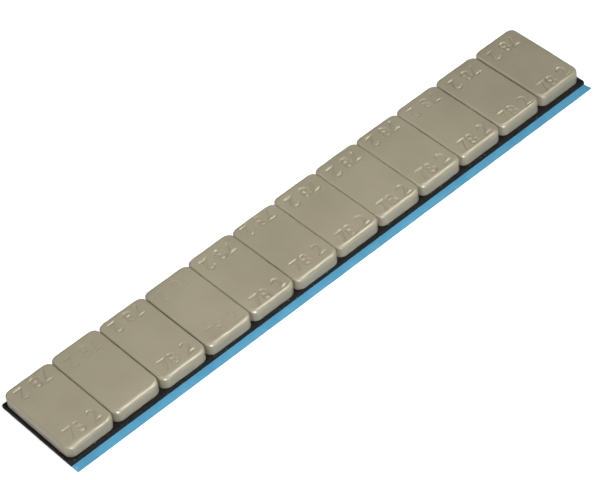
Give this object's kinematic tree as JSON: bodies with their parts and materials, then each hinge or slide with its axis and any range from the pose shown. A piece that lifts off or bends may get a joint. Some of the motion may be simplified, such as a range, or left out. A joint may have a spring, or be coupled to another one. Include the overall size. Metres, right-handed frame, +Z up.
{
  "type": "wheel balance weight",
  "caption": "Adhesive wheel balance weight: a row of small coated steel blocks on black foam tape, with a blue peel-off liner wider on one side.",
  "frame": {"origin": "middle of the row of weights, on the foam tape's centre line, at the underside of the release liner", "axes": "+X along the strip, towards the weight numbered 12; +Z up through the weights; the liner's free margin is on the -Y side"},
  "size_m": [0.1384, 0.0225, 0.0041],
  "materials": {
    "coated_steel": "thick glossy grey-taupe powder coat with slight lumps",
    "foam_tape": "matte black fine-celled foam, cut edges",
    "release_liner": "thin satin blue film"
  },
  "bodies": {
    "root": {"release_liner": "release_liner", "foam_tape": "foam_tape", "weight_01": "coated_steel", "weight_02": "coated_steel", "weight_03": "coated_steel", "weight_04": "coated_steel", "weight_05": "coated_steel", "weight_06": "coated_steel", "weight_07": "coated_steel", "weight_08": "coated_steel", "weight_09": "coated_steel", "weight_10": "coated_steel", "weight_11": "coated_steel", "weight_12": "coated_steel"}
  },
  "joints": []
}
